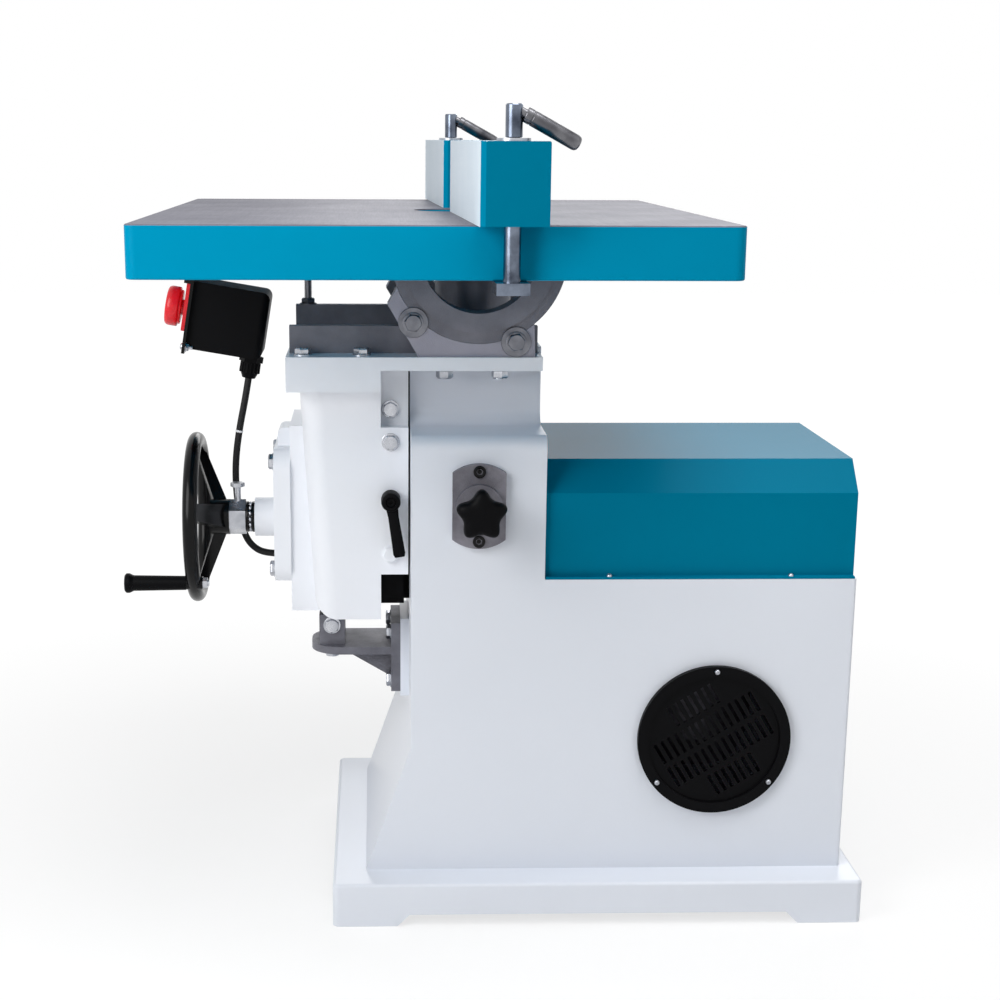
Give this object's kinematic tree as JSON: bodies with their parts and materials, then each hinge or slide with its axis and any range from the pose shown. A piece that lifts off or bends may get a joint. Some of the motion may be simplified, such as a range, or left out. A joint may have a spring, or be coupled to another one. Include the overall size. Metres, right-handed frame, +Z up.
{
  "type": "spindle moulder",
  "caption": "Floor-standing spindle moulder with a vertical arbor, a tilting table raised by a hand wheel on a sliding knee, a skewed clamped fence and a belt cover.",
  "frame": {"origin": "centre of the part's bounding box on the floor", "axes": "+Z up along the arbor, +X from the hand wheel to the motor end, +Y away from the camera side"},
  "size_m": [0.923, 0.882, 0.9844],
  "materials": {
    "white_enamel": "gloss white enamel",
    "teal_enamel": "gloss teal enamel",
    "grey_iron": "machined and scraped grey iron",
    "zinc": "zinc plated",
    "steel": "ground steel",
    "black_enamel": "gloss black enamel",
    "black_plastic": "matte moulded plastic",
    "red_plastic": "gloss moulded plastic",
    "rubber": "matte rubber",
    "bronze": "machined bronze"
  },
  "bodies": {
    "frame": {"base_plinth": "white_enamel", "cabinet": "white_enamel", "guide_rail": "grey_iron", "belt_cover": "teal_enamel", "vent_grille": "black_plastic", "panel_screws": "zinc", "spindle_housing": "grey_iron", "spindle_bearings": "steel", "screw_bracket": "grey_iron", "screw_bracket_bolts": "zinc", "screw_post": "grey_iron", "lead_screw": "steel", "motor": "grey_iron", "motor_plate": "grey_iron", "drive_belt": "rubber", "lock_plate": "grey_iron"},
    "knee": {"knee_casting": "white_enamel", "front_keeper": "white_enamel", "rear_keeper": "white_enamel", "gib_screws": "zinc", "gear_housing": "white_enamel", "gear_housing_bolts": "zinc", "shaft_bush": "bronze", "thrust_bearings": "steel", "front_saddle": "grey_iron", "rear_saddle": "grey_iron", "saddle_bolts": "zinc", "trunnion_clamp_bolts": "zinc", "tilt_stop_screw": "zinc", "switch_cable": "rubber"},
    "handwheel": {"handwheel": "black_enamel", "handwheel_shaft": "steel", "shaft_collar": "zinc", "bevel_pinion": "steel", "grip_bolt": "zinc"},
    "crank_grip": {"crank_grip": "black_plastic"},
    "bevel_nut": {"bevel_nut": "bronze"},
    "table": {"table_top": "teal_enamel", "front_trunnion_ring": "grey_iron", "rear_trunnion_ring": "grey_iron", "ring_bolts": "zinc", "switch_bracket": "black_enamel", "switch_box": "black_plastic", "cable_gland": "black_plastic"},
    "switch_lid": {"switch_lid": "red_plastic"},
    "stop_button": {"stop_button": "red_plastic"},
    "fence_carrier": {"front_clamp_bolt": "zinc"},
    "fence": {"fence_beam": "teal_enamel", "fence_facings": "teal_enamel", "clamp_washers": "zinc", "rear_clamp_bolt": "zinc"},
    "front_clamp_handle": {"front_clamp_handle": "zinc"},
    "rear_clamp_handle": {"rear_clamp_handle": "zinc"},
    "spindle": {"spindle": "steel", "spindle_pulley": "grey_iron"},
    "motor_rotor": {"motor_rotor": "steel"},
    "lock_pin": {"lock_pin": "steel"},
    "lock_knob": {"lock_knob": "black_plastic"},
    "knee_lock_lever": {"knee_lock_lever": "black_plastic"}
  },
  "joints": [
    {"name": "handwheel_turn", "type": "hinge", "parent": "knee", "child": "handwheel", "pos_m": [-0.3505, 0, 0.47], "axis": [1, 0, 0], "range_deg": [0, 12000]},
    {"name": "grip_spin", "type": "hinge", "parent": "handwheel", "child": "crank_grip", "pos_m": [-0.4345, -0.07106, 0.39894], "axis": [1, 0, 0], "continuous": true},
    {"name": "knee_lift", "type": "slide", "parent": "frame", "child": "knee", "axis": [0, 0, 1], "range_m": [0, 0.1]},
    {"name": "nut_turn", "type": "hinge", "parent": "knee", "child": "bevel_nut", "pos_m": [-0.2005, 0, 0.5], "axis": [0, 0, 1], "range_deg": [0, 6000]},
    {"name": "table_tilt", "type": "hinge", "parent": "knee", "child": "table", "pos_m": [-0.0195, 0, 0.816], "axis": [0, 1, 0], "range_deg": [0, 45]},
    {"name": "lid_hinge", "type": "hinge", "parent": "table", "child": "switch_lid", "pos_m": [-0.38038, 0.05, 0.77348], "axis": [0, 1, 0], "range_deg": [0, 45]},
    {"name": "stop_press", "type": "slide", "parent": "switch_lid", "child": "stop_button", "axis": [0.9863, 0, -0.165], "range_m": [0, 0.004], "stiffness_N_per_m": 1500},
    {"name": "fence_slide", "type": "slide", "parent": "table", "child": "fence_carrier", "axis": [1, 0, 0], "range_m": [-0.008, 0.15]},
    {"name": "fence_swing", "type": "hinge", "parent": "fence_carrier", "child": "fence", "pos_m": [-0.00191, -0.41774, 0.947], "axis": [0, 0, 1], "range_deg": [-4, 0]},
    {"name": "front_handle_turn", "type": "hinge", "parent": "fence_carrier", "child": "front_clamp_handle", "pos_m": [-0.00191, -0.41774, 0.947], "axis": [0, 0, 1], "range_deg": [-180, 0]},
    {"name": "rear_handle_turn", "type": "hinge", "parent": "fence", "child": "rear_clamp_handle", "pos_m": [-0.03109, 0.41774, 0.947], "axis": [0, 0, 1], "range_deg": [0, 180]},
    {"name": "rotor_spin", "type": "hinge", "parent": "frame", "child": "motor_rotor", "pos_m": [0.2725, 0, 0.3], "axis": [0, 0, 1], "continuous": true},
    {"name": "spindle_spin", "type": "hinge", "parent": "frame", "child": "spindle", "pos_m": [-0.0195, 0, 0.68], "axis": [0, 0, 1], "continuous": true},
    {"name": "lock_slide", "type": "slide", "parent": "frame", "child": "lock_pin", "axis": [0, 1, 0], "range_m": [0, 0.015]},
    {"name": "lock_knob_turn", "type": "hinge", "parent": "lock_pin", "child": "lock_knob", "pos_m": [-0.0195, -0.244, 0.522], "axis": [0, 1, 0], "range_deg": [0, 180]},
    {"name": "knee_lock_turn", "type": "hinge", "parent": "knee", "child": "knee_lock_lever", "pos_m": [-0.1245, -0.127, 0.516], "axis": [0, 1, 0], "range_deg": [0, 120]}
  ],
  "couplings": [
    {"joint": "handwheel_turn", "follows": "knee_lift", "rad_per_m": 2094.4},
    {"joint": "nut_turn", "follows": "knee_lift", "rad_per_m": 1047.2},
    {"joint": "spindle_spin", "follows": "rotor_spin", "ratio": 1.75}
  ]
}
